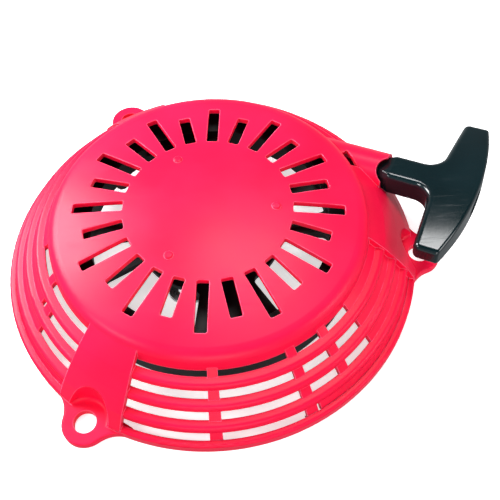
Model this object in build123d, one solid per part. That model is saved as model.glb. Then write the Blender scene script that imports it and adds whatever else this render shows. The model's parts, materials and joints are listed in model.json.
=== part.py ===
"""Recoil starter of a small vertical-shaft engine, one STEP file per physical piece.

Frame: origin at the centre of the mounting plane, on the reel's axis. +Z runs up through the
dome and +X runs towards the mounting ear beside the rope outlet. All sizes are in millimetres.
"""
from math import acos, atan2, cos, degrees, hypot, pi, radians, sin, sqrt
import os

from build123d import *

# ---- case: dome, skirt and louvres -------------------------------------------------------
DOME_TOP = 44.1            # height of the dome's crown
DOME_R = 480.0             # radius of the dome's shallow sphere
SHOULDER_R = 70.5          # where the dome turns into the shoulder
SKIRT_R = 76.8             # outer radius of the skirt under the shoulder
SKIRT_BOTTOM = 29.2
SKIRT_WALL = 2.6
DOME_WALL = 3.0
SHOULDER_DROP = 5.2        # height of the shoulder's curve
SKIRT_DRAFT, SKIRT_SLOPE = 0.6, 0.06
INNER_DRAFT, INNER_DROP = 0.4, 1.0  # the same for the skirt's inside, which starts lower
OVERLAP = 0.2              # how far features of one solid reach into each other
BEYOND = 1.0               # how far a cutter runs past the faces that it cuts
SHELF = 2.4                # thickness of a louvre's level part
RISER = 2.2                # thickness of a louvre's upright part
# inner radius, outer radius, top height and bottom height of each louvre ring
LOUVRES = ((79.2, 84.2, 28.4, 24.2), (86.2, 90.9, 21.3, 17.1), (92.9, 97.4, 13.8, 9.0))
BASE_IN, BASE_OUT, BASE_TOP = 99.3, 102.4, 6.0
ENVELOPE = ((75.4, 36.2), (84.2, 28.6), (91.0, 21.5), (97.5, 13.9), (BASE_OUT, BASE_TOP))
LOUVRE_ROUND, RISER_ROUND, BASE_ROUND = 1.9, 0.7, 1.4
PANEL_WALL = 3.0
BAR_INSET = 3.0            # how far a louvre bar lies behind the envelope
BAR_WALL = 2.6

# ---- case: angles in degrees around the axis ----------------------------------------------
EAR_ANGLES = (0.0, 120.0, 240.0)
EAR_PANELS = ((-9.5, 24.0), (110.4, 129.6), (230.4, 249.4))
BAR_ANGLES = (-86.2, -60.5, -47.9, 60.5, 86.2, 149.0)
BAR_WIDTH = 3.3
# bars that cross one step only, as (step, angle); step 0 is the uppermost
SHORT_BARS = ((0, 205.0), (1, 211.8), (2, 211.8))
# steps that are closed between two angles
CLOSED_STEPS = ((0, -36.0, -9.0), (1, -36.0, -9.0), (2, -36.0, -9.0), (3, -58.0, -9.0),
                (0, 165.0, 190.5), (1, 165.0, 208.0), (2, 165.0, 210.5), (3, 165.0, 231.0))

# ---- case: cooling slots ------------------------------------------------------------------
SLOT_COUNT = 24
SLOT_WIDTH = 5.7
SLOT_IN, SLOT_SHORT, SLOT_LONG = 40.0, 59.0, 64.4
SLOT_CORNER = 0.9
SLOT_BOTTOM = 32.0         # height from which the dome is cut
PIP_AT, PIP_R, PIP_RISE = 32.0, 2.1, 0.8

# ---- case: ears ---------------------------------------------------------------------------
EAR_AT = 105.0             # radius of the mounting holes' circle
EAR_HOLE_R = 5.2
EAR_END_R = 10.6
EAR_FILLET = 14.0
EAR_FLOOR = 4.0            # thickness of an ear
EAR_ROOT = 3.0             # how far an ear runs in under the base ring
EAR_EDGE = 0.8             # rounding of an ear's upper edge
SOCKET_R = 11.4            # recess around each hole, cut into the panel above it
SOCKET_WALL = 2.6
SOCKET_INSET = 0.1         # how far the recess's wall stays behind the panel's face
SOCKET_FLOOR_FILLET = 2.0

# ---- rope line and outlet -----------------------------------------------------------------
ROPE_YAW = -25.0           # direction in which the handle is pulled, in plan
ROPE_PITCH = 6.45          # and its rise
ROPE_OFFSET = 68.2         # distance in plan from the axis to the handle's centre line
ROPE_Z = 24.8              # height of the rope at the reel and at the guide
ROPE_R = 2.0
GUIDE_AT = 57.0            # position of the guide along the handle's centre line
MOUTH_AT = 65.5            # outer end of the outlet
OUTLET_IN = 30.0           # inner end of the outlet's hood
HOLLOW_IN = 24.0           # inner end of the hollow that it spans
HOOD_R = 9.8
HOOD_WALL = 2.4
HOOD_SPRING = 23.8         # height at which the hood's upright walls meet its arch
HOOD_SLOT = (20.8, 32.2)   # angles of the gap between the skirt and the hood
HOOD_SLOT_R = 80.4
REEL_CLEAR_R, REEL_CLEAR_TOP = 73.6, 33.0
NOTCH_ANGLE = 120.0
HOOD_BORE_R = 8.1
MOUTH_DEPTH = 5.6          # depth of the pocket that the handle's nose sits in
NECK_CLEAR_R, NECK_CLEAR = 9.2, 6.0
NOTCH_R = 7.0              # saddle in the outlet's rim that clears the nose
GUIDE_FLANGE_R, GUIDE_BODY_R, GUIDE_LENGTH, GUIDE_FLANGE = 6.2, 4.5, 6.0, 1.4
GUIDE_BORE_R, GUIDE_FLARE = 2.6, 0.6

# ---- centre post --------------------------------------------------------------------------
POST_R = 11.0              # spring post, above the reel's hub
BEARING_R = 8.0            # bearing part, inside the reel's hub
PILOT_R = 6.0              # lowest part, which centres the ratchet guide
SPRING_SEAT = 26.0
BEARING_BOTTOM = 12.0
POST_BOTTOM = 8.3
POST_ROOT = 0.5            # how far the post runs up into the dome
INSERT_R, INSERT_TOP = 4.4, 26.0
INSERT_GROOVES, INSERT_GROOVE_W, INSERT_GROOVE_DEPTH = (13.3, 19.3), 1.0, 0.5
THREAD_R = 2.5
FIT = 0.05                 # radial running clearance
GAP = 0.4                  # clearance between faces that pass each other
HOOK_SLOT, HOOK_SLOT_DEPTH = 1.6, 3.0

# ---- reel ---------------------------------------------------------------------------------
RIM_IN, GROOVE_R, FLANGE_R = 58.0, 60.0, 72.4
GROOVE_HALF, FLANGE_T, FLANGE_DRAFT = 4.1, 1.5, 0.4
LIP_W, LIP_BOTTOM = 2.0, 9.5  # edge of the lower flange, turned down to stiffen it
WEB_BOTTOM, WEB_TOP = 22.0, 25.0
CUP_IN, CUP_OUT, CUP_TOP = 26.6, 28.6, 37.6
HUB_R, HUB_BOTTOM = 13.0, 12.4
BUSH_R = 9.6
WINDOW_IN = 35.6
WINDOW_CORNER = 3.5
# start and end angle of each window in the web, on one half of the reel
WINDOWS = ((-170.0, -155.0), (-147.0, -94.5), (-54.0, -4.0))
RATCHET_ANGLES = (-73.0, 107.0)
KNOT_ANGLE = 150.0         # where the rope's inner end is tied behind the rim
KNOT_HOLE_R = 2.2
OUTER_TURN = 300.0         # part of a turn that the outer lay covers
LEAD_GAP = 0.2             # angle between the outer lay's end and the rope that leaves the reel
LAY_GAP = 0.02             # gap between turns of rope
BRIDGE_W, BRIDGE_H, BRIDGE_L = 1.5, 1.0, 2.0  # where the outer lay bears on the inner one
TAIL_IN, TAIL_END = 3.0, 2.0  # rope through the rim: start inside it, end short of the lay's middle
BEND_HALF = 3.0            # half the length of the rope's bend in the guide

# ---- recoil spring ------------------------------------------------------------------------
SPRING_IN, SPRING_OUT = 11.9, 26.2
SPRING_BOTTOM, SPRING_WIDTH = 25.6, 11.0
STRIP_T = 0.7
SPRING_TURNS, SPIRAL_STEPS = 9, 16
HOOK_IN_AT, HOOK_IN_L = 11.0, 2.6
HOOK_OUT_AT, HOOK_OUT_L = 26.9, 2.2

# ---- ratchets and guide -------------------------------------------------------------------
PIVOT_AT, PIVOT_R = 23.0, 3.4
RATCHET_BOTTOM, RATCHET_TOP = 12.2, 17.2
RATCHET_EYE, RATCHET_TIP, RATCHET_ARM = 5.8, 2.2, 17.0
PEG_AT, PEG_R, PEG_BOTTOM, PEG_CLEAR = 9.0, 1.5, 8.2, 0.35
GUIDE_TURN, RATCHET_SWING = 30.0, 40.0
GUIDE_BOTTOM, GUIDE_TOP, GUIDE_HUB = 8.45, 10.45, 11.5
SLOT_PATH_STEPS = 9
LOBE_MARGIN = 5.0
LOBE_ARM = 12.0
WIRE_R, RETURN_TURNS, LEG = 0.4, 3, 6.0
COIL_CLEAR, COIL_END = 0.25, 0.1  # around the pivot, and at the coil's ends
FRICTION_AT, FRICTION_WIRE, FRICTION_SWEEP, FRICTION_LIFT = 8.8, 0.6, 315.0, 0.03
WASHER_R, WASHER_T, WASHER_BORE_R = 9.6, 1.2, 2.9
SCREW_HEAD_R, SCREW_HEAD_T, SCREW_FLATS = 7.4, 1.4, 10.0
SCREW_HEX_T, SCREW_EDGE = 3.6, 0.6
SCREW_R, SCREW_TOP = 2.47, 23.0

# ---- handle, in its own frame: x along the pull, y across, z up ---------------------------
NOSE_AT, NECK_AT = 61.6, 69.0
NOSE_HALF, NECK_HALF = 5.9, 7.8
NOSE_HALF_T = 5.6          # half the nose's thickness at its end
NOSE_R, NECK_R = 6.2, 9.4  # cone that takes the nose's corners off
GRIP_HALF_T = 7.0          # half the handle's thickness at its middle
TIP_HALF_T = 4.8           # and at the tips
BAR_HALF = 42.4            # half the grip's length
BAR_IN, BAR_TIP_IN = 90.8, 93.4
BAR_OUT, BAR_TIP_OUT = 112.2, 105.4
ROOT_FILLET = 9.0          # between the neck and the bar, in plan
TIP_CORNER = 3.0           # corner of each tip, in plan
GRIP_ROUND = 2.8           # rounding of the edges that the fingers pull on
BOW_ROUND = 1.4            # rounding of the outer face's edges
KNOT_AT, KNOT_R = 103.2, 4.0
KNOT_CORE, KNOT_LOOP, KNOT_STRAND = 3.28, 2.48, 1.44  # radii of its core, its loop and the loop's rope
CAP_HALF_W, CAP_HALF_H, CAP_T, CAP_DEPTH = 10.5, 4.3, 2.2, 14.0
CAP_CORNER, CAP_FIT, CAP_SINK = 1.6, 0.12, 0.5
KNOT_WASHER_R, KNOT_WASHER_T, KNOT_WASHER_BORE_R = 5.2, 1.4, 2.3
WASHER_SIDE_GAP = 0.1
ROPE_BORE_R = 2.5


def polar(radius, angle, z=0.0):
    """Point at a radius and an angle in degrees."""
    return Vector(radius * cos(radians(angle)), radius * sin(radians(angle)), z)


def ring(points, start=0.0, sweep=360.0):
    """Revolve a closed (radius, z) outline about +Z, from a start angle."""
    face = make_face(Polyline(*[(r, 0, z) for r, z in points], close=True))
    return revolve(face, Axis.Z, sweep).rotate(Axis.Z, start)


def disc(radius, bottom, top, at=(0, 0)):
    """Upright cylinder between two heights."""
    return Pos(at[0], at[1], (bottom + top) / 2) * Cylinder(radius, top - bottom)


def rope_direction():
    """Unit vector of the handle's pull."""
    rise = radians(ROPE_PITCH)
    return Vector(cos(radians(ROPE_YAW)) * cos(rise), sin(radians(ROPE_YAW)) * cos(rise), sin(rise))


def guide_point():
    """Centre of the rope guide, where the rope bends towards the handle."""
    along, across = radians(ROPE_YAW), radians(ROPE_YAW + 90)
    x = GUIDE_AT * cos(along) + ROPE_OFFSET * cos(across)
    y = GUIDE_AT * sin(along) + ROPE_OFFSET * sin(across)
    return Vector(x, y, ROPE_Z)


def outlet_plane(at):
    """Plane across the pull direction, its z axis along the pull, at a distance along it."""
    origin = guide_point() + rope_direction() * (at - GUIDE_AT)
    across = Vector(-sin(radians(ROPE_YAW)), cos(radians(ROPE_YAW)), 0)
    return Plane(origin=origin, x_dir=across, z_dir=rope_direction())


def handle_location():
    """Place of the handle's own frame, whose origin is at zero along the pull."""
    across = Vector(-sin(radians(ROPE_YAW)), cos(radians(ROPE_YAW)), 0)
    origin = guide_point() - rope_direction() * GUIDE_AT
    up = rope_direction().cross(across)
    return Plane(origin=origin, x_dir=rope_direction(), z_dir=up).location


def along_pull(radius, start, end):
    """Cylinder on the handle's centre line."""
    return extrude(outlet_plane(start) * Circle(radius), end - start)


# ---- case ---------------------------------------------------------------------------------
def dome_height(radius):
    """Height of the dome's outer surface."""
    return DOME_TOP - DOME_R + sqrt(DOME_R ** 2 - radius ** 2)


def dome_shell():
    """Shallow dome, rounded shoulder and skirt as one shell."""
    edge = dome_height(SHOULDER_R)
    drop = edge - SHOULDER_DROP
    outer = [
        ThreePointArc((0, 0, DOME_TOP), (SHOULDER_R / 2, 0, dome_height(SHOULDER_R / 2)),
                      (SHOULDER_R, 0, edge)),
        Spline((SHOULDER_R, 0, edge), (SKIRT_R - SKIRT_DRAFT, 0, drop),
               tangents=((1, 0, -SHOULDER_R / DOME_R), (SKIRT_SLOPE, 0, -1))),
        Line((SKIRT_R - SKIRT_DRAFT, 0, drop), (SKIRT_R, 0, SKIRT_BOTTOM)),
    ]
    inner_r = SHOULDER_R - DOME_WALL / 2
    inner_edge = dome_height(inner_r) - DOME_WALL
    wall = SKIRT_R - SKIRT_WALL
    turn = (wall - INNER_DRAFT, 0, drop - INNER_DROP)
    inner = [
        Line((SKIRT_R, 0, SKIRT_BOTTOM), (wall, 0, SKIRT_BOTTOM)),
        Line((wall, 0, SKIRT_BOTTOM), turn),
        Spline(turn, (inner_r, 0, inner_edge),
               tangents=((-SKIRT_SLOPE, 0, 1), (-1, 0, SHOULDER_R / DOME_R))),
        ThreePointArc((inner_r, 0, inner_edge), (inner_r / 2, 0, dome_height(inner_r / 2) - DOME_WALL),
                      (0, 0, DOME_TOP - DOME_WALL)),
        Line((0, 0, DOME_TOP - DOME_WALL), (0, 0, DOME_TOP)),
    ]
    return revolve(make_face(outer + inner), Axis.Z)


def rounded_ring(points, corner, corner_r, foot_r):
    """Revolved outline whose outer upper corner and outer lower corner are rounded."""
    face = make_face(Polyline(*[(r, 0, z) for r, z in points], close=True))
    outer_r, top = corner
    outer = face.vertices().filter_by_position(Axis.X, outer_r, outer_r)
    face = fillet(outer.filter_by_position(Axis.Z, top, top), corner_r)
    if foot_r:
        foot = face.vertices().filter_by_position(Axis.X, outer_r, outer_r).sort_by(Axis.Z)[:1]
        face = fillet(foot, foot_r)
    return revolve(face, Axis.Z)


def louvre(inner, outer, top, bottom):
    """Full ring with a level shelf and an upright riser on its outer edge."""
    points = [(inner, top), (outer, top), (outer, bottom), (outer - RISER, bottom),
              (outer - RISER, top - SHELF), (inner, top - SHELF)]
    return rounded_ring(points, (outer, top), LOUVRE_ROUND, RISER_ROUND)


def base_ring():
    """Lowest ring, which stands on the engine."""
    points = [(BASE_IN, BASE_TOP), (BASE_OUT, BASE_TOP), (BASE_OUT, 0), (BASE_IN, 0)]
    return rounded_ring(points, (BASE_OUT, BASE_TOP), BASE_ROUND, 0)


def envelope_band(inset, wall):
    """Outline of a band that runs under the envelope of the steps, from skirt to base."""
    slope = atan2(ENVELOPE[0][1] - BASE_TOP, BASE_OUT - ENVELOPE[0][0])
    dx, dz = sin(slope), cos(slope)
    outer = [(r - inset * dx, z - inset * dz) for r, z in ENVELOPE]
    outer.append((BASE_OUT - inset, 0))
    deep = inset + wall
    inner = [(BASE_OUT - deep, 0)]
    inner += [(r - deep * dx, z - deep * dz) for r, z in reversed(ENVELOPE[1:])]
    inner.append((SKIRT_R - SKIRT_WALL + OVERLAP, ENVELOPE[0][1] - deep))
    return outer + inner


def step_band(step, inset, wall):
    """Outline of a band across one step only, between two points of the envelope."""
    (r0, z0), (r1, z1) = ENVELOPE[step], ENVELOPE[step + 1]
    length = hypot(r1 - r0, z1 - z0)
    dx, dz = (z0 - z1) / length, (r1 - r0) / length
    deep = inset + wall
    outer = [(r0 - inset * dx, z0 - inset * dz), (r1 - inset * dx, z1 - inset * dz)]
    return outer + [(r1 - deep * dx, z1 - deep * dz), (r0 - deep * dx, z0 - deep * dz)]


def sector(outline, start, end):
    """Part of a ring between two angles."""
    return ring(outline, start, end - start)


def ear_plate():
    """Flat mounting ear at angle zero, blended into the base ring by concave fillets."""
    join = BASE_OUT - OVERLAP
    reach = join + EAR_FILLET
    tip = EAR_END_R + EAR_FILLET
    # centre of the concave fillet: tangent to the base circle and to the ear's end circle
    x = (EAR_AT ** 2 + reach ** 2 - tip ** 2) / (2 * EAR_AT)
    y = sqrt(reach ** 2 - x ** 2)
    on_base = (x * join / reach, y * join / reach)
    on_tip = (EAR_AT + (x - EAR_AT) * EAR_END_R / tip, y * EAR_END_R / tip)
    mid_angle = (atan2(on_base[1] - y, on_base[0] - x) + atan2(on_tip[1] - y, on_tip[0] - x)) / 2
    middle = (x + EAR_FILLET * cos(mid_angle), y + EAR_FILLET * sin(mid_angle))
    root = (BASE_IN - EAR_ROOT, on_base[1])
    outline = [
        Line((root[0], -root[1]), (root[0], root[1])),
        Line(root, on_base),
        ThreePointArc(on_base, middle, on_tip),
        ThreePointArc(on_tip, (EAR_AT + EAR_END_R, 0), (on_tip[0], -on_tip[1])),
        ThreePointArc((on_tip[0], -on_tip[1]), (middle[0], -middle[1]), (on_base[0], -on_base[1])),
        Line((on_base[0], -on_base[1]), (root[0], -root[1])),
    ]
    plate = extrude(make_face(outline), EAR_FLOOR)
    rim = plate.edges().filter_by_position(Axis.Z, EAR_FLOOR, EAR_FLOOR).sort_by(Axis.X)[1:]
    return fillet(rim, EAR_EDGE)


def socket_wall():
    """Solid wall around an ear's recess, trimmed to the envelope of the steps."""
    slope = [(r - SOCKET_INSET, z - SOCKET_INSET) for r, z in reversed(ENVELOPE)]
    root = EAR_AT - SOCKET_R - 2 * SOCKET_WALL
    inside = ring([(root, 0), (BASE_OUT - SOCKET_INSET, 0)] + slope[:-1] + [(root, slope[-2][1])], -15, 30)
    return disc(SOCKET_R + SOCKET_WALL, 0, DOME_TOP, (EAR_AT, 0)) & inside


def ear_socket():
    """Recess above the ear: a rounded cup that leaves the ear's floor flat."""
    cup = disc(SOCKET_R, EAR_FLOOR, DOME_TOP, (EAR_AT, 0))
    bottom = cup.edges().group_by(Axis.Z)[0]
    return fillet(bottom, SOCKET_FLOOR_FILLET)


def hood_block(half, start, end, top):
    """Upright block on the rope's line in plan, from below the base up to a height."""
    centre = guide_point()
    plan = Pos((start + end) / 2 - GUIDE_AT, 0) * Rectangle(end - start, 2 * half)
    block = extrude(Rot(0, 0, ROPE_YAW) * plan, top)
    return Pos(centre.X, centre.Y, 0) * block


def hood():
    """Arched housing of the rope outlet, closed down to the base on both sides."""
    walls = hood_block(HOOD_R, OUTLET_IN, MOUTH_AT, HOOD_SPRING)
    arch = along_pull(HOOD_R, OUTLET_IN, MOUTH_AT)
    return arch + walls - disc(REEL_CLEAR_R, -BEYOND, REEL_CLEAR_TOP)


def hood_slot():
    """Gap between the skirt and the hood, in line with the uppermost louvre opening."""
    outline = [(SKIRT_R, LOUVRES[1][3]), (HOOD_SLOT_R, LOUVRES[1][3]), (HOOD_SLOT_R, DOME_TOP),
               (SKIRT_R, DOME_TOP)]
    return sector(outline, *HOOD_SLOT)


def rope_passage():
    """Everything that the rope needs open between the reel and the handle's seat."""
    inner = HOOD_R - HOOD_WALL
    wall_face = GUIDE_AT - GUIDE_LENGTH / 2 + GUIDE_FLANGE
    hollow = along_pull(inner, HOLLOW_IN, wall_face)
    hollow += Pos(0, 0, -BEYOND) * hood_block(inner, HOLLOW_IN, wall_face, ROPE_Z)
    seat = along_pull(HOOD_BORE_R, MOUTH_AT - MOUTH_DEPTH, MOUTH_AT + BEYOND)
    seat += along_pull(NECK_CLEAR_R, MOUTH_AT, MOUTH_AT + NECK_CLEAR)
    bore = along_pull(GUIDE_BODY_R, wall_face - BEYOND, MOUTH_AT)
    notch_plane = outlet_plane(MOUTH_AT + NOTCH_R / 2)
    saddle = Plane(notch_plane.origin, notch_plane.z_dir, notch_axis()) * Circle(NOTCH_R)
    notch = extrude(saddle, 2 * HOOD_R)
    return hollow + seat + bore + notch


def notch_axis():
    """Direction in which the saddle in the outlet's rim is cut: up, and away from the axis."""
    across = Vector(-sin(radians(ROPE_YAW)), cos(radians(ROPE_YAW)), 0)
    up = rope_direction().cross(across)
    return across * cos(radians(NOTCH_ANGLE)) + up * sin(radians(NOTCH_ANGLE))


def cooling_slots():
    """Alternating long and short radial slots, as one cutter."""
    cutter = Sketch()
    for i in range(SLOT_COUNT):
        outer = SLOT_SHORT if i % 2 else SLOT_LONG
        slot = Pos((SLOT_IN + outer) / 2, 0) * RectangleRounded(outer - SLOT_IN, SLOT_WIDTH, SLOT_CORNER)
        cutter += Rot(0, 0, i * 360 / SLOT_COUNT) * slot
    return Pos(0, 0, SLOT_BOTTOM) * extrude(cutter, DOME_TOP)


def ejector_marks():
    """Three low round pips on the dome."""
    marks = Part()
    for angle in EAR_ANGLES:
        spot = polar(PIP_AT, angle)
        pip = disc(PIP_R, DOME_TOP - DOME_WALL, dome_height(PIP_AT) + PIP_RISE, (spot.X, spot.Y))
        marks += fillet(pip.edges().group_by(Axis.Z)[-1], PIP_RISE)
    return marks


def centre_post():
    """Post under the dome that carries the spring, the reel and the ratchet guide."""
    top = DOME_TOP - DOME_WALL + POST_ROOT
    post = ring([(0, POST_BOTTOM), (PILOT_R, POST_BOTTOM), (PILOT_R, BEARING_BOTTOM),
                 (BEARING_R, BEARING_BOTTOM), (BEARING_R, SPRING_SEAT), (POST_R, SPRING_SEAT),
                 (POST_R, top), (0, top)])
    height = CUP_TOP - SPRING_BOTTOM + BEYOND
    slot = Box(2 * HOOK_SLOT_DEPTH, HOOK_SLOT, height, align=(Align.CENTER, Align.CENTER, Align.MIN))
    return post - Pos(POST_R, 0, SPRING_BOTTOM - GAP) * slot - disc(INSERT_R, POST_BOTTOM, INSERT_TOP)


def make_case():
    """Moulded case with its dome, louvres, ears, rope outlet and centre post."""
    case = dome_shell() + base_ring()
    for inner, outer, top, bottom in LOUVRES:
        case += louvre(inner, outer, top, bottom)
    for span in EAR_PANELS:
        case += sector(envelope_band(0, PANEL_WALL), *span)
    half = BAR_WIDTH / 2
    for angle in BAR_ANGLES:
        case += sector(envelope_band(BAR_INSET, BAR_WALL), angle - half, angle + half)
    for step, angle in SHORT_BARS:
        case += sector(step_band(step, BAR_INSET, BAR_WALL), angle - half, angle + half)
    for step, start, end in CLOSED_STEPS:
        case += sector(step_band(step, BAR_INSET, BAR_WALL), start, end)
    case += hood() - hood_slot()
    case -= rope_passage()
    wall = socket_wall()
    for angle in EAR_ANGLES:
        case += wall.rotate(Axis.Z, angle)
    socket = ear_socket()
    hole = disc(EAR_HOLE_R, -BEYOND, EAR_FLOOR + BEYOND, (EAR_AT, 0))
    for angle in EAR_ANGLES:
        case -= socket.rotate(Axis.Z, angle)
    for angle in EAR_ANGLES:
        case += ear_plate().rotate(Axis.Z, angle)
    for angle in EAR_ANGLES:
        case -= hole.rotate(Axis.Z, angle)
    case += ejector_marks()
    case -= cooling_slots()
    return case + centre_post()


def make_rope_guide():
    """Metal eyelet pressed into the outlet's wall, flared for the rope."""
    start, seat = GUIDE_AT - GUIDE_LENGTH / 2 + GUIDE_FLANGE, MOUTH_AT - MOUTH_DEPTH
    body = along_pull(GUIDE_BODY_R, start, seat) + along_pull(GUIDE_FLANGE_R, seat, seat + GUIDE_FLANGE)
    body -= along_pull(GUIDE_BORE_R, start - BEYOND, seat + GUIDE_FLANGE + BEYOND)
    bore_edges = body.edges().filter_by(GeomType.CIRCLE).sort_by(lambda e: e.radius)[:2]
    return fillet(bore_edges, GUIDE_FLARE)


def make_insert():
    """Threaded metal insert moulded into the post, with two retaining grooves."""
    body = disc(INSERT_R, POST_BOTTOM, INSERT_TOP) - disc(THREAD_R, POST_BOTTOM, INSERT_TOP)
    for height in INSERT_GROOVES:
        end = height + INSERT_GROOVE_W
        body -= disc(INSERT_R, height, end) - disc(INSERT_R - INSERT_GROOVE_DEPTH, height, end)
    return body


# ---- reel ---------------------------------------------------------------------------------
def web_windows():
    """Cutter for the windows between hub and rim, the same on both halves."""
    cutter = Part()
    for start, end in WINDOWS:
        low, high = WEB_BOTTOM - BEYOND, WEB_TOP + BEYOND
        opening = sector([(WINDOW_IN, low), (RIM_IN, low), (RIM_IN, high), (WINDOW_IN, high)], start, end)
        opening = fillet(opening.edges().filter_by(Axis.Z), WINDOW_CORNER)
        cutter += opening + opening.rotate(Axis.Z, 180)
    return cutter


def make_reel():
    """Reel with the rope groove, open web, spring cup, hub and two ratchet pivots."""
    low, high = ROPE_Z - GROOVE_HALF, ROPE_Z + GROOVE_HALF
    draft, lip = FLANGE_R - FLANGE_DRAFT, FLANGE_R - LIP_W
    rim = ring([(RIM_IN, low - FLANGE_T), (lip, low - FLANGE_T), (lip, LIP_BOTTOM), (FLANGE_R, LIP_BOTTOM),
                (FLANGE_R, low - FLANGE_T), (draft, low), (GROOVE_R, low), (GROOVE_R, high), (draft, high),
                (FLANGE_R, high + FLANGE_T), (RIM_IN, high + FLANGE_T)])
    edge = RIM_IN + OVERLAP
    web = ring([(BUSH_R, WEB_BOTTOM), (edge, WEB_BOTTOM), (edge, WEB_TOP), (BUSH_R, WEB_TOP)])
    hub = disc(HUB_R, HUB_BOTTOM, WEB_TOP + GAP) - disc(BUSH_R, HUB_BOTTOM, WEB_TOP + GAP)
    cup = ring([(CUP_IN, WEB_BOTTOM), (CUP_OUT, WEB_BOTTOM), (CUP_OUT, CUP_TOP), (CUP_IN, CUP_TOP)])
    reel = rim + (web - web_windows()) + hub + cup
    for angle in RATCHET_ANGLES:
        spot = polar(PIVOT_AT, angle)
        reel += disc(PIVOT_R, RATCHET_BOTTOM - GAP, WEB_BOTTOM + OVERLAP, (spot.X, spot.Y))
    across = 2 * (CUP_OUT - CUP_IN)
    slot = Box(across, HOOK_SLOT, CUP_TOP, align=(Align.CENTER, Align.CENTER, Align.MIN))
    reel -= Pos((CUP_IN + CUP_OUT) / 2, 0, WEB_TOP + GAP) * slot
    hole = knot_plane(RIM_IN - TAIL_IN) * Circle(KNOT_HOLE_R)
    return reel - extrude(hole, GROOVE_R - RIM_IN + 2 * TAIL_IN)


def knot_plane(radius):
    """Plane across the rope's inner end, at a radius."""
    return Plane(origin=polar(radius, KNOT_ANGLE, ROPE_Z), z_dir=polar(1, KNOT_ANGLE))


def make_bushing():
    """Bearing sleeve pressed into the reel's hub."""
    sleeve = disc(BUSH_R, HUB_BOTTOM, WEB_TOP + GAP)
    return sleeve - disc(BEARING_R + FIT, HUB_BOTTOM - BEYOND, WEB_TOP + BEYOND)


def spiral_point(turn, radius):
    """Point of the spring's spiral after some turns."""
    return (radius * cos(2 * pi * turn), radius * sin(2 * pi * turn))


def make_recoil_spring():
    """Flat spiral spring with a hook at each end, standing in the reel's cup."""
    turns = [i / SPIRAL_STEPS for i in range(SPRING_TURNS * SPIRAL_STEPS + 1)]
    pitch = (SPRING_OUT - SPRING_IN - STRIP_T) / SPRING_TURNS
    inner = [spiral_point(turn, SPRING_IN + pitch * turn) for turn in turns]
    outer = [spiral_point(turn, SPRING_IN + STRIP_T + pitch * turn) for turn in turns]
    face = make_face([Spline(*inner), Line(inner[-1], outer[-1]), Spline(*outer), Line(outer[0], inner[0])])
    strip = extrude(face, SPRING_WIDTH)
    hook_in = Pos(HOOK_IN_AT, 0, SPRING_WIDTH / 2) * Box(HOOK_IN_L, STRIP_T, SPRING_WIDTH)
    hook_out = Pos(HOOK_OUT_AT, 0, SPRING_WIDTH / 2) * Box(HOOK_OUT_L, STRIP_T, SPRING_WIDTH)
    return Pos(0, 0, SPRING_BOTTOM) * (strip + hook_in + hook_out)


# ---- rope ---------------------------------------------------------------------------------
def lay_radii():
    """Centre radii of the inner and the outer lay of rope on the reel."""
    inner = GROOVE_R + ROPE_R + FIT
    return inner, inner + sqrt(3) * (ROPE_R + LAY_GAP)


def tangent_angle():
    """Angle at which the rope leaves the reel towards the guide."""
    guide = guide_point()
    lay = lay_radii()[1]
    return degrees(atan2(guide.Y, guide.X) + acos(lay / hypot(guide.X, guide.Y)))


def rope_leaves():
    """Point and direction at which the rope leaves the reel."""
    angle = tangent_angle()
    return polar(lay_radii()[1], angle, ROPE_Z), polar(1, angle - 90)


def make_rope_coil():
    """Three turns of rope on the reel: two side by side and one on top."""
    inner, outer = lay_radii()
    side = ROPE_R + LAY_GAP
    pair = Pos(inner, -side) * Circle(ROPE_R) + Pos(inner, side) * Circle(ROPE_R)
    pair += Pos(inner, 0) * Rectangle(ROPE_R, 2 * side)
    coil = revolve(Plane.XZ * pair, Axis.Z)
    top = revolve(Plane.XZ * Pos(outer, 0) * Circle(ROPE_R), Axis.Z, OUTER_TURN)
    coil += top.rotate(Axis.Z, tangent_angle() + LEAD_GAP)
    bridge = extrude(Plane.XZ * Pos(outer - ROPE_R, 0) * Rectangle(BRIDGE_W, BRIDGE_H), -BRIDGE_L)
    coil += bridge.rotate(Axis.Z, tangent_angle() + OUTER_TURN / 2)
    tail = knot_plane(RIM_IN - TAIL_IN) * Circle(ROPE_R)
    return Pos(0, 0, ROPE_Z) * coil + extrude(tail, inner - RIM_IN + TAIL_END)


def knot(centre, axis):
    """Overhand knot: a rope ring around a rounded core."""
    plane = Plane(origin=centre, z_dir=axis)
    core = plane.location * Sphere(KNOT_CORE)
    loop = plane.location * Rot(20, 15, 0) * Torus(KNOT_LOOP, KNOT_STRAND)
    return core + loop


def make_reel_knot():
    """Knot that holds the rope's inner end behind the reel's rim."""
    place = polar(RIM_IN - KNOT_R - OVERLAP, KNOT_ANGLE, ROPE_Z)
    tail = knot_plane(RIM_IN - TAIL_IN) * Circle(ROPE_R)
    return knot(place, polar(1, KNOT_ANGLE)) - extrude(tail, 2 * TAIL_IN)


def make_rope_lead():
    """Rope from the reel through the guide to the knot in the handle, bent at the guide."""
    start, leaving = rope_leaves()
    guide, pull = guide_point(), rope_direction()
    enter = guide - leaving * BEND_HALF
    leave = guide + pull * BEND_HALF
    end = guide + pull * (KNOT_AT - KNOT_R - GUIDE_AT)
    path = Wire([Line(start, enter), Spline(enter, leave, tangents=(leaving, pull)), Line(leave, end)])
    return sweep(Plane(origin=start, z_dir=leaving) * Circle(ROPE_R), path=path)


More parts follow.
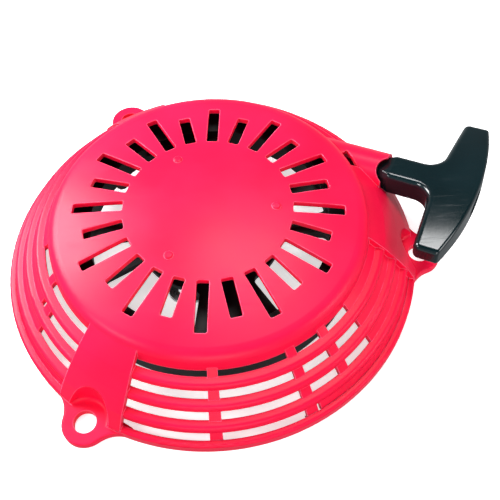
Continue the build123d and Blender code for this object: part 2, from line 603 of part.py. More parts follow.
# ---- ratchets -----------------------------------------------------------------------------
def ratchet_outline():
    """Ratchet at rest about its own pivot: its arm points along -Y."""
    eye, tip = Circle(RATCHET_EYE), Pos(RATCHET_TIP, -RATCHET_ARM) * Circle(RATCHET_TIP)
    arm = make_hull((eye.edges() + tip.edges()))
    return arm + Pos(RATCHET_TIP, -RATCHET_ARM) * Rectangle(2 * RATCHET_TIP, 2 * RATCHET_TIP)


def make_ratchet(angle):
    """One ratchet with its eye and the peg that the guide's slot drives."""
    body = extrude(ratchet_outline(), RATCHET_TOP - RATCHET_BOTTOM)
    body = Pos(0, 0, RATCHET_BOTTOM) * body
    body += disc(PEG_R, PEG_BOTTOM, RATCHET_BOTTOM + OVERLAP, (0, -PEG_AT))
    body -= disc(PIVOT_R + FIT, 0, DOME_TOP)
    return (Pos(PIVOT_AT, 0, 0) * body).rotate(Axis.Z, angle)


def peg_point(share):
    """Peg's place in the guide's frame when the guide has turned by a share of its range."""
    swing, turn = radians(RATCHET_SWING * share), radians(GUIDE_TURN * share)
    x, y = PIVOT_AT + PEG_AT * sin(swing), -PEG_AT * cos(swing)
    return x * cos(turn) + y * sin(turn), y * cos(turn) - x * sin(turn)


def peg_band(half_width):
    """Band along the peg's path in the guide, with round ends."""
    path = [peg_point(i / (SLOT_PATH_STEPS - 1)) for i in range(SLOT_PATH_STEPS)]
    band = Pos(*path[0]) * Circle(half_width) + Pos(*path[-1]) * Circle(half_width)
    sides = [[], []]
    for i, (x, y) in enumerate(path):
        before, after = path[max(i - 1, 0)], path[min(i + 1, SLOT_PATH_STEPS - 1)]
        dx, dy = after[0] - before[0], after[1] - before[1]
        length = hypot(dx, dy)
        for side, sign in zip(sides, (1, -1)):
            side.append((x - sign * half_width * dy / length, y + sign * half_width * dx / length))
    left, right = sides
    return band + make_face([Spline(*left), Line(left[-1], right[-1]), Spline(*right),
                             Line(right[0], left[0])])


def make_ratchet_guide():
    """Plate with two curved slots that swing the ratchets out when it lags behind the reel."""
    plate = Circle(GUIDE_HUB)
    slots = Sketch()
    middle = peg_point(0.5)
    heading = degrees(atan2(middle[1], middle[0]))
    for angle in RATCHET_ANGLES:
        lobe = peg_band(PEG_R + LOBE_MARGIN)
        arm = Rot(0, 0, heading) * Pos(PIVOT_AT / 2, 0) * Rectangle(PIVOT_AT, LOBE_ARM)
        plate += Rot(0, 0, angle) * (lobe + arm)
        slots += Rot(0, 0, angle) * peg_band(PEG_R + PEG_CLEAR)
    plate -= slots + Circle(PILOT_R + FIT)
    return Pos(0, 0, GUIDE_BOTTOM) * extrude(plate, GUIDE_TOP - GUIDE_BOTTOM)


def make_return_spring(angle):
    """Small torsion spring around a ratchet's pivot, with its two legs."""
    coil_r = PIVOT_R + WIRE_R + COIL_CLEAR
    bottom = RATCHET_TOP + WIRE_R + COIL_END
    height = WEB_BOTTOM - bottom - WIRE_R - COIL_END
    path = Helix(pitch=height / RETURN_TURNS, height=height, radius=coil_r)
    coil = sweep(Plane(origin=path @ 0, z_dir=path % 0) * Circle(WIRE_R), path=path, is_frenet=True)
    leg = Rot(90, 0, 0) * Cylinder(WIRE_R, LEG)
    overlap = LEG / 2 - 2 * WIRE_R
    spring = coil + Pos(coil_r, -overlap, 0) * leg + Pos(coil_r, overlap, height) * leg
    return (Pos(PIVOT_AT, 0, bottom) * spring).rotate(Axis.Z, angle)


def make_friction_spring():
    """Round wire ring on the guide, which drags on it as the reel turns."""
    loop = revolve(Plane.XZ * Pos(FRICTION_AT, 0) * Circle(FRICTION_WIRE), Axis.Z, FRICTION_SWEEP)
    tab = Pos(FRICTION_AT, 0, 0) * Sphere(FRICTION_WIRE)
    loop += tab + tab.rotate(Axis.Z, FRICTION_SWEEP)
    return Pos(0, 0, GUIDE_TOP + FRICTION_WIRE + FRICTION_LIFT) * loop


def make_washer():
    """Thrust washer that holds the guide up against the post's end."""
    return disc(WASHER_R, POST_BOTTOM - WASHER_T, POST_BOTTOM) - disc(WASHER_BORE_R, 0, POST_BOTTOM)


def make_setting_screw():
    """Hexagon flange screw that closes the stack from below."""
    face = POST_BOTTOM - WASHER_T
    flange = disc(SCREW_HEAD_R, face - SCREW_HEAD_T, face)
    head = Pos(0, 0, face - SCREW_HEAD_T - SCREW_HEX_T) * extrude(
        RegularPolygon(SCREW_FLATS / 2, 6, major_radius=False), SCREW_HEX_T)
    head = chamfer(head.edges().group_by(Axis.Z)[0], SCREW_EDGE)
    shank = disc(SCREW_R, face, SCREW_TOP)
    return flange + head + shank


# ---- handle -------------------------------------------------------------------------------
def grip_plan():
    """Plan of the handle: tapered nose, neck, then a cross bar with a bowed outer face."""
    half = [(NOSE_AT, NOSE_HALF), (NECK_AT, NECK_HALF), (BAR_IN, NECK_HALF), (BAR_TIP_IN, BAR_HALF),
            (BAR_TIP_OUT, BAR_HALF)]
    other = [(x, -y) for x, y in reversed(half)]
    bow = ThreePointArc(half[-1], (BAR_OUT, 0), other[0])
    plan = make_face([Polyline(*half), bow, Polyline(*other), Line(other[-1], half[0])])
    plan = fillet(plan.vertices().filter_by_position(Axis.X, BAR_IN, BAR_IN), ROOT_FILLET)
    return fillet(plan.vertices().filter_by_position(Axis.X, BAR_TIP_IN, BAR_TIP_IN), TIP_CORNER)


def grip_section():
    """Cross bar seen along the pull: thickest in the middle, with slightly crowned faces."""
    sag = GRIP_HALF_T - TIP_HALF_T
    end = BAR_HALF + TIP_CORNER
    low = GRIP_HALF_T - sag * (end / BAR_HALF) ** 2
    top = ThreePointArc((-end, low), (0, GRIP_HALF_T), (end, low))
    bottom = ThreePointArc((end, -low), (0, -GRIP_HALF_T), (-end, -low))
    face = make_face([top, Line((end, low), (end, -low)), bottom, Line((-end, -low), (-end, low))])
    return extrude(Plane.YZ * face, BAR_OUT + TIP_CORNER)


def nose_cone():
    """Cone around the nose, with room for the rest of the handle behind it."""
    start = (Align.CENTER, Align.CENTER, Align.MIN)
    cone = Rot(0, 90, 0) * Cone(NOSE_R, NECK_R, NECK_AT - NOSE_AT, align=start)
    rest = Rot(0, 90, 0) * Box(4 * GRIP_HALF_T, 3 * BAR_HALF, BAR_OUT, align=start)
    return Pos(NOSE_AT, 0, 0) * cone + Pos(NECK_AT, 0, 0) * rest


def nose_taper():
    """Side profile of the handle, tapered at the nose."""
    far = BAR_OUT + TIP_CORNER
    tall = 2 * GRIP_HALF_T - NOSE_HALF_T
    side = [(NOSE_AT, NOSE_HALF_T), (NECK_AT, GRIP_HALF_T), (NECK_AT, tall), (far, tall)]
    side += [(x, -z) for x, z in reversed(side)]
    return extrude(Plane.XZ * make_face(Polyline(*side, close=True)), BAR_HALF + TIP_CORNER, both=True)


def make_handle_grip():
    """Moulded T grip with a rope bore and a pocket for the knot."""
    grip = (extrude(grip_plan(), 2 * GRIP_HALF_T, both=True) & grip_section()).solids()[0]
    rims = grip.edges().filter_by(lambda e: abs(e.center().Z) > TIP_HALF_T - BEYOND)
    rims = rims.filter_by(lambda e: NOSE_AT + BEYOND < e.center().X < BAR_TIP_OUT - BEYOND)
    grip = fillet(rims, GRIP_ROUND)
    bow = grip.edges().filter_by(lambda e: e.center().X > BAR_TIP_OUT and e.length > BAR_HALF)
    grip = (fillet(bow, BOW_ROUND) & nose_taper() & nose_cone()) - pocket(0.0)
    return handle_location() * (grip - pull_disc(ROPE_BORE_R, NOSE_AT - BEYOND, BAR_OUT - BEYOND))


def pull_disc(radius, start, end):
    """Cylinder along the handle's own x axis."""
    return Pos((start + end) / 2, 0, 0) * Rot(0, 90, 0) * Cylinder(radius, end - start)


def pocket(inset):
    """Rounded pocket in the grip's outer face, or the plug that fills its mouth."""
    outline = RectangleRounded(2 * (CAP_HALF_W - inset), 2 * (CAP_HALF_H - inset), CAP_CORNER)
    plane = Plane(origin=(BAR_OUT - CAP_DEPTH, 0, 0), x_dir=(0, 1, 0), z_dir=(1, 0, 0))
    return extrude(plane * outline, CAP_DEPTH + BEYOND)


def make_handle_cap():
    """Plug that closes the knot's pocket, following the grip's bowed face."""
    shell = extrude(grip_plan(), GRIP_HALF_T, both=True)
    zone = Pos(BAR_OUT - CAP_T / 2 - CAP_SINK, 0, 0) * Box(CAP_T, 3 * CAP_HALF_W, 3 * GRIP_HALF_T)
    return handle_location() * (pocket(CAP_FIT) & zone & shell)


def make_knot_washer():
    """Steel washer that spreads the knot's pull in the handle."""
    at = BAR_OUT - CAP_DEPTH
    plate = pull_disc(KNOT_WASHER_R, at, at + KNOT_WASHER_T)
    plate -= pull_disc(KNOT_WASHER_BORE_R, at - BEYOND, at + KNOT_WASHER_T + BEYOND)
    height = 2 * (CAP_HALF_H - WASHER_SIDE_GAP)
    trim = Pos(at, 0, 0) * Box(CAP_DEPTH, 4 * CAP_HALF_W, height)
    return handle_location() * (plate & trim)


def make_handle_knot():
    """Knot on the rope's outer end, inside the handle."""
    centre = guide_point() + rope_direction() * (KNOT_AT - GUIDE_AT)
    return knot(centre, rope_direction()) - along_pull(ROPE_R, KNOT_AT - 3 * KNOT_R, KNOT_AT - KNOT_R)


PARTS = {
    "case": make_case,
    "rope_guide": make_rope_guide,
    "post_insert": make_insert,
    "thrust_washer": make_washer,
    "setting_screw": make_setting_screw,
    "reel": make_reel,
    "hub_bushing": make_bushing,
    "recoil_spring": make_recoil_spring,
    "rope_coil": make_rope_coil,
    "reel_knot": make_reel_knot,
    "rope_lead": make_rope_lead,
    "ratchet_a": lambda: make_ratchet(RATCHET_ANGLES[0]),
    "ratchet_b": lambda: make_ratchet(RATCHET_ANGLES[1]),
    "return_spring_a": lambda: make_return_spring(RATCHET_ANGLES[0]),
    "return_spring_b": lambda: make_return_spring(RATCHET_ANGLES[1]),
    "ratchet_guide": make_ratchet_guide,
    "friction_spring": make_friction_spring,
    "handle_grip": make_handle_grip,
    "handle_cap": make_handle_cap,
    "knot_washer": make_knot_washer,
    "handle_knot": make_handle_knot,
}

os.makedirs("parts", exist_ok=True)
for name, make in PARTS.items():
    export_step(make(), f"parts/{name}.step")
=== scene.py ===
import json
import math

import bpy
from mathutils import Matrix, Vector


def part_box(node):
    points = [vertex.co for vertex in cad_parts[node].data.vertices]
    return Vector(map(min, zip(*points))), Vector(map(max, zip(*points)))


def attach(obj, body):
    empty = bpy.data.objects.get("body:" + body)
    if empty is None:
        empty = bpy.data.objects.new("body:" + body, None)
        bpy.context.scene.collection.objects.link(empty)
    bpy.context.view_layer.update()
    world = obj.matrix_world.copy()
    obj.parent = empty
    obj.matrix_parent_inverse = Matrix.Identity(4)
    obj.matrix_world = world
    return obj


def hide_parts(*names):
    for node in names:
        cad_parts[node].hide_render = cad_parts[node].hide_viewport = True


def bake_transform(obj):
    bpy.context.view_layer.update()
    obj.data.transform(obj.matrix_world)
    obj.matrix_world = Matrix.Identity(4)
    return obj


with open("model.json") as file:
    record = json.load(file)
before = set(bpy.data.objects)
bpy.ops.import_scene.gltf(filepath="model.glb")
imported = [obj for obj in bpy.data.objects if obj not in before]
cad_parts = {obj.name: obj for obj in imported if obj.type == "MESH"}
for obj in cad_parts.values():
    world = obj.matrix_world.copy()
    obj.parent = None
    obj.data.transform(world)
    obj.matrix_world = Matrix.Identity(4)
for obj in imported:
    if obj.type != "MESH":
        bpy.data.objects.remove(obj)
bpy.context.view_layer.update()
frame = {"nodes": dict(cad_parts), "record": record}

MM = 0.001
PULL = Vector(next(j["axis"] for j in frame["record"]["behaviour"]["joints"] if j["name"] == "handle_pull"))

# the rope's braid: its strands, the length of their turns in the mesh, and of the finer weave on the lead
STRANDS = 8
PITCH = 7.0 * MM
WEAVE_PITCH = 3.5 * MM
RELIEF = 0.22 * MM
ROPE_DARK, ROPE_LIGHT, ROPE_WORN = (0.012, 0.012, 0.013), (0.07, 0.07, 0.075), (0.12, 0.115, 0.11)
LAY_GAP = 0.02 * MM
LAY_STEP = 0.8 * MM

# bend of the rope in the guide, and how far from the guide and the grip it starts to stretch
BEND = 3 * MM
SPAN_STEPS, BEND_STEPS, PULL_STEPS = 20, 12, 160

KNOT_SIZE, KNOT_STRAND, KNOT_RELIEF = 2.35 * MM, 1.45 * MM, 0.15 * MM
KNOT_FLATNESS = 0.42
KNOT_STEPS = 120


# ---- shader helpers -----------------------------------------------------------------------
class Shader:
    """Small wrapper that builds a principled material node by node."""

    def __init__(self, name, metallic=0.0):
        self.mat = bpy.data.materials.new(name)
        self.mat.use_nodes = True
        self.tree = self.mat.node_tree
        self.tree.nodes.clear()
        self.out = self.tree.nodes.new("ShaderNodeOutputMaterial")
        self.bsdf = self.tree.nodes.new("ShaderNodeBsdfPrincipled")
        self.tree.links.new(self.bsdf.outputs["BSDF"], self.out.inputs["Surface"])
        self.bsdf.inputs["Metallic"].default_value = metallic
        self.place = self.tree.nodes.new("ShaderNodeTexCoord").outputs["Object"]

    def node(self, kind, inputs=(), **settings):
        made = self.tree.nodes.new(kind)
        for key, value in settings.items():
            setattr(made, key, value)
        for key, value in dict(inputs).items():
            if isinstance(value, bpy.types.NodeSocket):
                self.tree.links.new(value, made.inputs[key])
            else:
                made.inputs[key].default_value = value
        return made

    def math(self, operation, a, b=0.0):
        return self.node("ShaderNodeMath", {0: a, 1: b}, operation=operation).outputs[0]

    def dot(self, a, b):
        return self.node("ShaderNodeVectorMath", {0: a, 1: b}, operation="DOT_PRODUCT").outputs["Value"]

    def noise(self, size, detail=3.0, stretch=(1, 1, 1)):
        """Noise whose features are about size millimetres across."""
        scale = tuple(s / (size * MM) for s in stretch)
        mapped = self.node("ShaderNodeMapping", {"Vector": self.place, "Scale": scale}).outputs[0]
        return self.node("ShaderNodeTexNoise", {"Vector": mapped, "Scale": 1.0, "Detail": detail}).outputs[0]

    def ramp(self, value, low, high, start=0.0, end=1.0):
        """Maps a range of a value linearly to another, with clamping."""
        return self.node("ShaderNodeMapRange", {0: value, 1: low, 2: high, 3: start, 4: end}).outputs[0]

    def mix(self, share, first, second):
        made = self.node("ShaderNodeMix", {0: share}, data_type="RGBA")
        for socket, value in ((made.inputs[6], first), (made.inputs[7], second)):
            if isinstance(value, bpy.types.NodeSocket):
                self.tree.links.new(value, socket)
            else:
                socket.default_value = (*value, 1)
        return made.outputs[2]

    def edges(self, radius):
        """Bevelled normal, and how strongly a point lies on an edge."""
        bevel = self.node("ShaderNodeBevel", {"Radius": radius * MM}, samples=6).outputs[0]
        normal = self.node("ShaderNodeNewGeometry").outputs["Normal"]
        return bevel, self.ramp(self.dot(bevel, normal), 0.995, 0.80)

    def bump(self, height, distance, normal=None):
        inputs = {"Height": height, "Distance": distance * MM, "Strength": 1.0}
        if normal is not None:
            inputs["Normal"] = normal
        return self.node("ShaderNodeBump", inputs).outputs[0]

    def finish(self, colour, roughness, normal):
        for key, value in (("Base Color", colour), ("Roughness", roughness), ("Normal", normal)):
            self.tree.links.new(value, self.bsdf.inputs[key])
        return self.mat


# ---- materials ----------------------------------------------------------------------------
def moulded(name, dark, light, worn_and_rim_highlight, rough, grain, edge_radius, specular):
    """Moulded plastic: flow clouding, fine grain, faint scratches, and edges painted lighter, partly as
    rubbed wear and partly as a painted rim highlight.
    """
    s = Shader(name)
    bevel, edge = s.edges(edge_radius)
    cloud = s.noise(size=38, detail=4)
    speckle = s.noise(size=0.9, detail=2)
    scratch = s.ramp(s.noise(size=3.0, stretch=(0.12, 3.0, 1.0)), 0.60, 0.72)
    colour = s.mix(s.ramp(cloud, 0.35, 0.68), dark, light)
    colour = s.mix(s.math("MULTIPLY", s.ramp(speckle, 0.45, 0.75), 0.25), colour, light)
    # edges painted lighter: partly rubbed wear, partly a painted highlight along the rims
    rubbed_and_highlit = s.math("MULTIPLY", edge, s.ramp(s.noise(size=7), 0.30, 0.60, 0.25, 0.8))
    colour = s.mix(rubbed_and_highlit, colour, worn_and_rim_highlight)
    roughness = s.math("ADD", s.ramp(cloud, 0.3, 0.7, *rough), s.math("MULTIPLY", scratch, 0.10))
    height = s.math("ADD", speckle, s.math("MULTIPLY", scratch, -0.35))
    s.bsdf.inputs["Specular IOR Level"].default_value = specular
    return s.finish(colour, roughness, s.bump(height, grain, bevel))


def plated(name, colour, tint, rough, brushed=(1, 1, 1)):
    """Metal with drawn or turned marks, tarnish and bright edges."""
    s = Shader(name, metallic=1.0)
    bevel, edge = s.edges(0.25)
    tarnish = s.ramp(s.noise(size=6, detail=4), 0.38, 0.66)
    marks = s.noise(size=0.6, stretch=brushed)
    tone = s.mix(s.math("MULTIPLY", tarnish, 0.55), colour, tint)
    tone = s.mix(s.math("MULTIPLY", edge, 0.5), tone, (0.9, 0.9, 0.9))
    roughness = s.math("ADD", s.ramp(marks, 0.3, 0.7, *rough), s.math("MULTIPLY", tarnish, 0.08))
    return s.finish(tone, roughness, s.bump(marks, 0.012, bevel))


def weave(s, centre):
    """Crossing strands around a straight rope that runs through a point along the pull."""
    side = PULL.cross(Vector((0, 0, 1))).normalized()
    from_centre = s.node("ShaderNodeVectorMath", {0: s.place, 1: tuple(centre)}, operation="SUBTRACT")
    run, across, raised = [
        s.dot(from_centre.outputs[0], tuple(axis)) for axis in (PULL, side, side.cross(PULL))]
    run = s.math("MULTIPLY", run, 2 * math.pi / WEAVE_PITCH)
    turn = s.math("MULTIPLY", s.math("ARCTAN2", across, raised), STRANDS / 2)
    first = s.math("SINE", s.math("ADD", turn, run))
    second = s.math("SINE", s.math("SUBTRACT", turn, run))
    return s.ramp(s.math("MAXIMUM", first, second), -0.4, 1.0)


def cord(name, weave_centre=None):
    """Black rope fibre, with a weave where the mesh has no strands of its own."""
    s = Shader(name)
    fibre = s.noise(size=0.35, detail=2)
    wear = s.ramp(s.noise(size=9), 0.35, 0.65)
    colour = s.mix(fibre, ROPE_DARK, s.mix(wear, ROPE_LIGHT, ROPE_WORN))
    height = s.math("MULTIPLY", fibre, 0.25)
    if weave_centre is not None:
        braid_and_gap_shade = weave(s, weave_centre)
        # the gaps between the braid's strands are painted dark as shade; the same mask also raises the
        # strands in the bump
        colour = s.mix(braid_and_gap_shade, ROPE_DARK, colour)
        height = s.math("ADD", height, braid_and_gap_shade)
    return s.finish(colour, s.ramp(fibre, 0.3, 0.7, 0.75, 0.95), s.bump(height, 0.18))


MATERIALS = {
    # each worn colour is painted on the edges, both as wear and as a painted rim highlight
    "red_case": moulded(
        "red_case", dark=(0.84, 0.0045, 0.042), light=(0.90, 0.0062, 0.054), worn_and_rim_highlight=(1.0, 0.22, 0.40),
        rough=(0.28, 0.38), grain=0.020, edge_radius=0.7, specular=0.14),
    "black_reel": moulded(
        "black_reel", dark=(0.0028, 0.0028, 0.0032), light=(0.008, 0.008, 0.009), worn_and_rim_highlight=(0.05, 0.05, 0.05),
        rough=(0.42, 0.58), grain=0.030, edge_radius=0.4, specular=0.2),
    "black_grip": moulded(
        "black_grip", dark=(0.0004, 0.006, 0.0075), light=(0.001, 0.010, 0.013), worn_and_rim_highlight=(0.03, 0.055, 0.06),
        rough=(0.12, 0.18), grain=0.006, edge_radius=0.5, specular=0.5),
    "rope": cord("rope"),
    "zinc_steel": plated("zinc_steel", (0.74, 0.75, 0.77), (0.58, 0.56, 0.50), (0.24, 0.40)),
    "spring_steel": plated("spring_steel", (0.42, 0.43, 0.46), (0.20, 0.18, 0.17), (0.22, 0.38), (1, 1, 8)),
    "hard_steel": plated("hard_steel", (0.30, 0.30, 0.32), (0.16, 0.15, 0.16), (0.30, 0.48)),
    "bronze": plated("bronze", (0.60, 0.40, 0.20), (0.36, 0.22, 0.11), (0.35, 0.55)),
    "brass": plated("brass", (0.80, 0.60, 0.26), (0.55, 0.38, 0.14), (0.22, 0.36), (1, 1, 6)),
}
for row in frame["record"]["subparts"]:
    slots = frame["nodes"][row["node"]].data.materials
    slots.clear()
    slots.append(MATERIALS[row["material_slot"]])


# ---- rope shapes --------------------------------------------------------------------------
def braid_relief(turn, run):
    """Height of the braid's surface, 0 to 1, at an angle around the rope and a length along it."""
    a = STRANDS / 2 * turn + 2 * math.pi * run / PITCH
    b = STRANDS / 2 * turn - 2 * math.pi * run / PITCH
    over = math.cos((a + b) / 2) * math.cos((a - b) / 2)
    first, second = 0.5 + 0.5 * math.cos(a), 0.5 + 0.5 * math.cos(b)
    return max(first * (0.75 + 0.25 * over), second * (0.75 - 0.25 * over))


def rope_points(path, radius, relief, sides, closed):
    """Rings of points about a path, sunk between the braid's strands by up to the relief."""
    points = []
    run = 0.0
    normal = Vector((0, 0, 1))
    for i, point in enumerate(path):
        before = path[i - 1] if i else (path[-2] if closed else point)
        after = path[i + 1] if i + 1 < len(path) else (path[1] if closed else point)
        tangent = (after - before).normalized()
        normal = (normal - tangent * normal.dot(tangent)).normalized()
        binormal = tangent.cross(normal)
        run += (point - path[i - 1]).length if i else 0.0
        for k in range(sides):
            turn = 2 * math.pi * k / sides
            r = radius - relief * (1 - braid_relief(turn, run))
            points.append(point + (normal * math.cos(turn) + binormal * math.sin(turn)) * r)
    return points


def rope_faces(count, sides, closed):
    """Faces between neighbouring rings, and the two flat ends of an open rope."""
    faces = []
    for i in range(count - 1):
        for k in range(sides):
            a, b = i * sides + k, i * sides + (k + 1) % sides
            faces.append((a, b, b + sides, a + sides))
    if not closed:
        faces.append(tuple(reversed(range(sides))))
        faces.append(tuple((count - 1) * sides + k for k in range(sides)))
    return faces


def rope_mesh(name, path, material, radius, relief=0.0, sides=20, closed=False):
    """Rope along a list of points."""
    mesh = bpy.data.meshes.new(name)
    points = rope_points(path, radius, relief, sides, closed)
    mesh.from_pydata(points, [], rope_faces(len(path), sides, closed))
    for face in mesh.polygons:
        face.use_smooth = len(face.vertices) == 4
    mesh.materials.append(material)
    made = bpy.data.objects.new(name, mesh)
    bpy.context.scene.collection.objects.link(made)
    return made


def circle_path(radius, z, start, sweep):
    """Points along an arc about the reel's axis, from an angle and through another in degrees."""
    count = int(radius * math.radians(sweep) / LAY_STEP)
    angles = [math.radians(start + sweep * i / count) for i in range(count + 1)]
    return [Vector((radius * math.cos(a), radius * math.sin(a), z)) for a in angles]


def overhand(centre, axis):
    """Closed overhand-knot path about an axis: a trefoil, whose greatest radius is three units."""
    turn = Vector((0, 0, 1)).rotation_difference(Vector(axis).normalized())
    points = []
    for i in range(KNOT_STEPS + 1):
        t = 2 * math.pi * i / KNOT_STEPS
        x, y = math.sin(t) + 2 * math.sin(2 * t), math.cos(t) - 2 * math.cos(2 * t)
        local = Vector((x / 3, y / 3, -math.sin(3 * t) * KNOT_FLATNESS)) * KNOT_SIZE
        points.append(Vector(centre) + turn @ local)
    return points


def middle(node):
    low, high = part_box(node)
    return (Vector(low) + Vector(high)) / 2


def face_centre(node, direction):
    """Centre of the flat end of a rope node, at the end that a direction points to."""
    made = frame["nodes"][node]
    points = [made.matrix_world @ v.co for v in made.data.vertices]
    far = max(p.dot(direction) for p in points)
    face = [p for p in points if far - p.dot(direction) < 0.01 * MM]
    return Vector([(min(p[k] for p in face) + max(p[k] for p in face)) / 2 for k in range(3)])


# ---- rope on the reel ---------------------------------------------------------------------
# the two inner turns lie side by side in the groove, the outer one in the valley between them
coil_low, coil_high = (Vector(c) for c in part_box("rope_coil"))
rope_r = (coil_high.z - coil_low.z) / 4 - LAY_GAP / 2
coil_z = (coil_low.z + coil_high.z) / 2
outer_lay = coil_high.y - rope_r
inner_lay = outer_lay - math.sqrt(3) * (rope_r + LAY_GAP)

# the rope bends in the guide, at the coil's height on the line of the pull, and leaves the reel at a tangent
pull_end = face_centre("rope_lead", PULL)
guide = pull_end - PULL * ((pull_end.z - coil_z) / PULL.z)
tangent_turn = math.acos(outer_lay / math.hypot(guide.x, guide.y))
leave_angle = math.degrees(math.atan2(guide.y, guide.x) + tangent_turn)

beside = rope_r + LAY_GAP
lays = (("rope_lay_upper", inner_lay, coil_z + beside, 0.0, 360.0),
        ("rope_lay_lower", inner_lay, coil_z - beside, 0.0, 360.0),
        ("rope_lay_outer", outer_lay, coil_z, leave_angle + 0.2, 300.0))
for name, radius, z, start, sweep in lays:
    lay = rope_mesh(name, circle_path(radius, z, start, sweep), MATERIALS["rope"], rope_r, RELIEF)
    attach(lay, "reel_body")
    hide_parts("rope_coil")


# ---- rope from the reel to the grip, and its knots ----------------------------------------
def lead_path():
    """Rope from the reel, bent in the guide, to the grip."""
    reel_point = Vector((outer_lay * math.cos(math.radians(leave_angle)),
                         outer_lay * math.sin(math.radians(leave_angle)), coil_z))
    leaving = (guide - reel_point).normalized()
    enter, leave = guide - leaving * BEND, guide + PULL * BEND
    points = [reel_point.lerp(enter, i / SPAN_STEPS) for i in range(SPAN_STEPS)]
    for i in range(BEND_STEPS):
        t = i / BEND_STEPS
        points.append(enter * (1 - t) ** 2 + guide * 2 * t * (1 - t) + leave * t ** 2)
    return points + [leave.lerp(pull_end, i / PULL_STEPS) for i in range(PULL_STEPS + 1)]


lead = rope_mesh("rope_lead_cord", lead_path(), cord("rope_cord", guide), rope_r)
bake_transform(lead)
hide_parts("rope_lead")

knot_place = guide + PULL * (middle("handle_knot") - guide).dot(PULL)
reel_knot_place = middle("reel_knot")
inwards = Vector((reel_knot_place.x, reel_knot_place.y, 0))
for name, node, body, place, axis in (
        ("handle_knot_cord", "handle_knot", "handle_body", knot_place, PULL),
        ("reel_knot_cord", "reel_knot", "reel_body", reel_knot_place, inwards)):
    tied = rope_mesh(name, overhand(place, axis), MATERIALS["rope"], KNOT_STRAND, KNOT_RELIEF, 16, True)
    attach(tied, body)
    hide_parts(node)

# ---- stage --------------------------------------------------------------------------------
FLOOR_SIZE = 12
FLOOR_DROP = 0.5 * MM
FLOOR_GLOW = 0.64

# brightness of the surroundings, from straight below (0) to straight above (1)
SKY_LEVELS = ((0.0, 0.36), (0.30, 0.36), (0.38, 0.95), (0.47, 0.95), (0.54, 0.46), (0.68, 0.46), (0.90, 0.07))
SKY_COLOUR = (0.94, 0.97, 1, 1)


def floor_material():
    """Pale matt surface that only a camera above it sees: all other rays pass."""
    s = Shader("floor")
    grain = s.noise(size=4)
    s.finish(s.mix(grain, (0.84, 0.84, 0.84), (0.9, 0.9, 0.9)), s.ramp(grain, 0.3, 0.7, 0.7, 0.8),
             s.bump(grain, 0.01))
    s.bsdf.inputs["Emission Color"].default_value = (1, 1, 1, 1)
    s.bsdf.inputs["Emission Strength"].default_value = FLOOR_GLOW
    from_above = s.math("SUBTRACT", 1.0, s.node("ShaderNodeNewGeometry").outputs["Backfacing"])
    shown = s.math("MULTIPLY", from_above, s.node("ShaderNodeLightPath").outputs["Is Camera Ray"])
    clear = s.node("ShaderNodeBsdfTransparent").outputs[0]
    both = s.node("ShaderNodeMixShader", {0: shown, 1: clear, 2: s.bsdf.outputs["BSDF"]}).outputs[0]
    s.tree.links.new(both, s.out.inputs["Surface"])
    return s.mat


def studio_world():
    """Surroundings that light the object by SKY_LEVELS, while the camera sees them evenly bright."""
    world = bpy.data.worlds.new("studio")
    world.use_nodes = True
    sky = world.node_tree
    direction = sky.nodes.new("ShaderNodeSeparateXYZ")
    sky.links.new(sky.nodes.new("ShaderNodeTexCoord").outputs["Generated"], direction.inputs[0])
    height = sky.nodes.new("ShaderNodeMapRange")
    height.inputs["From Min"].default_value = -1.0
    height.inputs["From Max"].default_value = 1.0
    sky.links.new(direction.outputs["Z"], height.inputs[0])
    levels = sky.nodes.new("ShaderNodeValToRGB")
    stops = levels.color_ramp.elements
    for place, grey in SKY_LEVELS:
        stops.new(place).color = (grey, grey, grey, 1)
    stops.remove(stops[0])
    stops.remove(stops[-1])
    sky.links.new(height.outputs[0], levels.inputs[0])
    pick = sky.nodes.new("ShaderNodeMix")
    sky.links.new(sky.nodes.new("ShaderNodeLightPath").outputs["Is Camera Ray"], pick.inputs[0])
    sky.links.new(levels.outputs[0], pick.inputs[2])
    pick.inputs[3].default_value = 1.0
    background = sky.nodes["Background"]
    background.inputs["Color"].default_value = SKY_COLOUR
    sky.links.new(pick.outputs[0], background.inputs["Strength"])
    return world


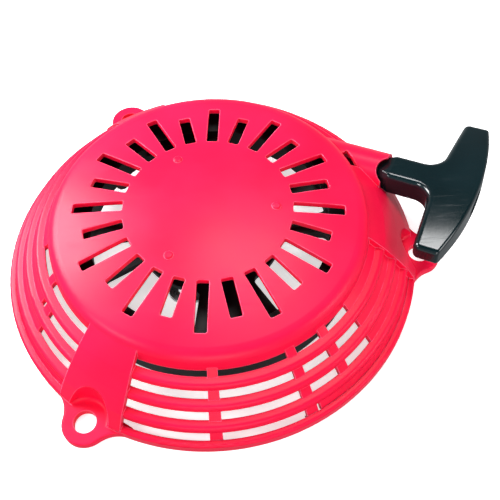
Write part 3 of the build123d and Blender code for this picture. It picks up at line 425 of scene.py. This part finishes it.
def area_light(name, place, aim, size, power, spread=180):
    """Soft square light aimed at a point, with its beam's angle in degrees."""
    data = bpy.data.lights.new(name, "AREA")
    data.size = size
    data.energy = power
    data.spread = math.radians(spread)
    lamp = bpy.data.objects.new(name, data)
    bpy.context.scene.collection.objects.link(lamp)
    lamp.location = place
    lamp.rotation_euler = (Vector(aim) - Vector(place)).to_track_quat("-Z", "Y").to_euler()


bpy.ops.mesh.primitive_plane_add(size=FLOOR_SIZE, location=(0, 0, -FLOOR_DROP))
floor = bpy.context.object
floor.name = "floor"
floor.data.materials.append(floor_material())

bpy.context.scene.world = studio_world()
bpy.context.scene.view_settings.view_transform = "Standard"

# the card stands where the grip's lower end mirrors its edge; the others give the case its soft sheen
area_light("key", (-0.34, 0.20, 0.36), (-0.10, 0.03, 0.03), 0.20, 0.95, 75)
area_light("card", (0.05, 0.25, 0.70), (0.05, 0.02, 0.03), 0.24, 2.8)
area_light("shoulder", (-0.42, -0.22, 0.46), (-0.04, -0.03, 0.03), 0.14, 1.5)
area_light("front", (0.05, -0.62, 0.30), (0.02, 0, 0.02), 0.40, 2.0)
area_light("side", (0.55, -0.15, 0.30), (0.08, 0, 0.02), 0.22, 1.3)

# ---- camera -------------------------------------------------------------------------------
CAMERA_AZIMUTH, CAMERA_ELEVATION, CAMERA_ROLL = math.radians(2.55), math.radians(56.93), math.radians(-1.72)
CAMERA_PLACE = Vector((27.87, -196.15, 306.63)) * MM
SENSOR_WIDTH, LENS = 36, 50.74
CLIP_START = 10 * MM

back = Vector((math.sin(CAMERA_AZIMUTH) * math.cos(CAMERA_ELEVATION),
               -math.cos(CAMERA_AZIMUTH) * math.cos(CAMERA_ELEVATION),
               math.sin(CAMERA_ELEVATION)))
level = Vector((0, 0, 1)).cross(back).normalized()
raised = back.cross(level)
right = level * math.cos(CAMERA_ROLL) + raised * math.sin(CAMERA_ROLL)
up = back.cross(right)
camera_data = bpy.data.cameras.new("camera")
camera_data.sensor_width = SENSOR_WIDTH
camera_data.lens = LENS
camera_data.clip_start = CLIP_START
camera = bpy.data.objects.new("camera", camera_data)
bpy.context.scene.collection.objects.link(camera)
camera.matrix_world = Matrix.Translation(CAMERA_PLACE) @ Matrix((right, up, back)).transposed().to_4x4()
bpy.context.scene.camera = camera
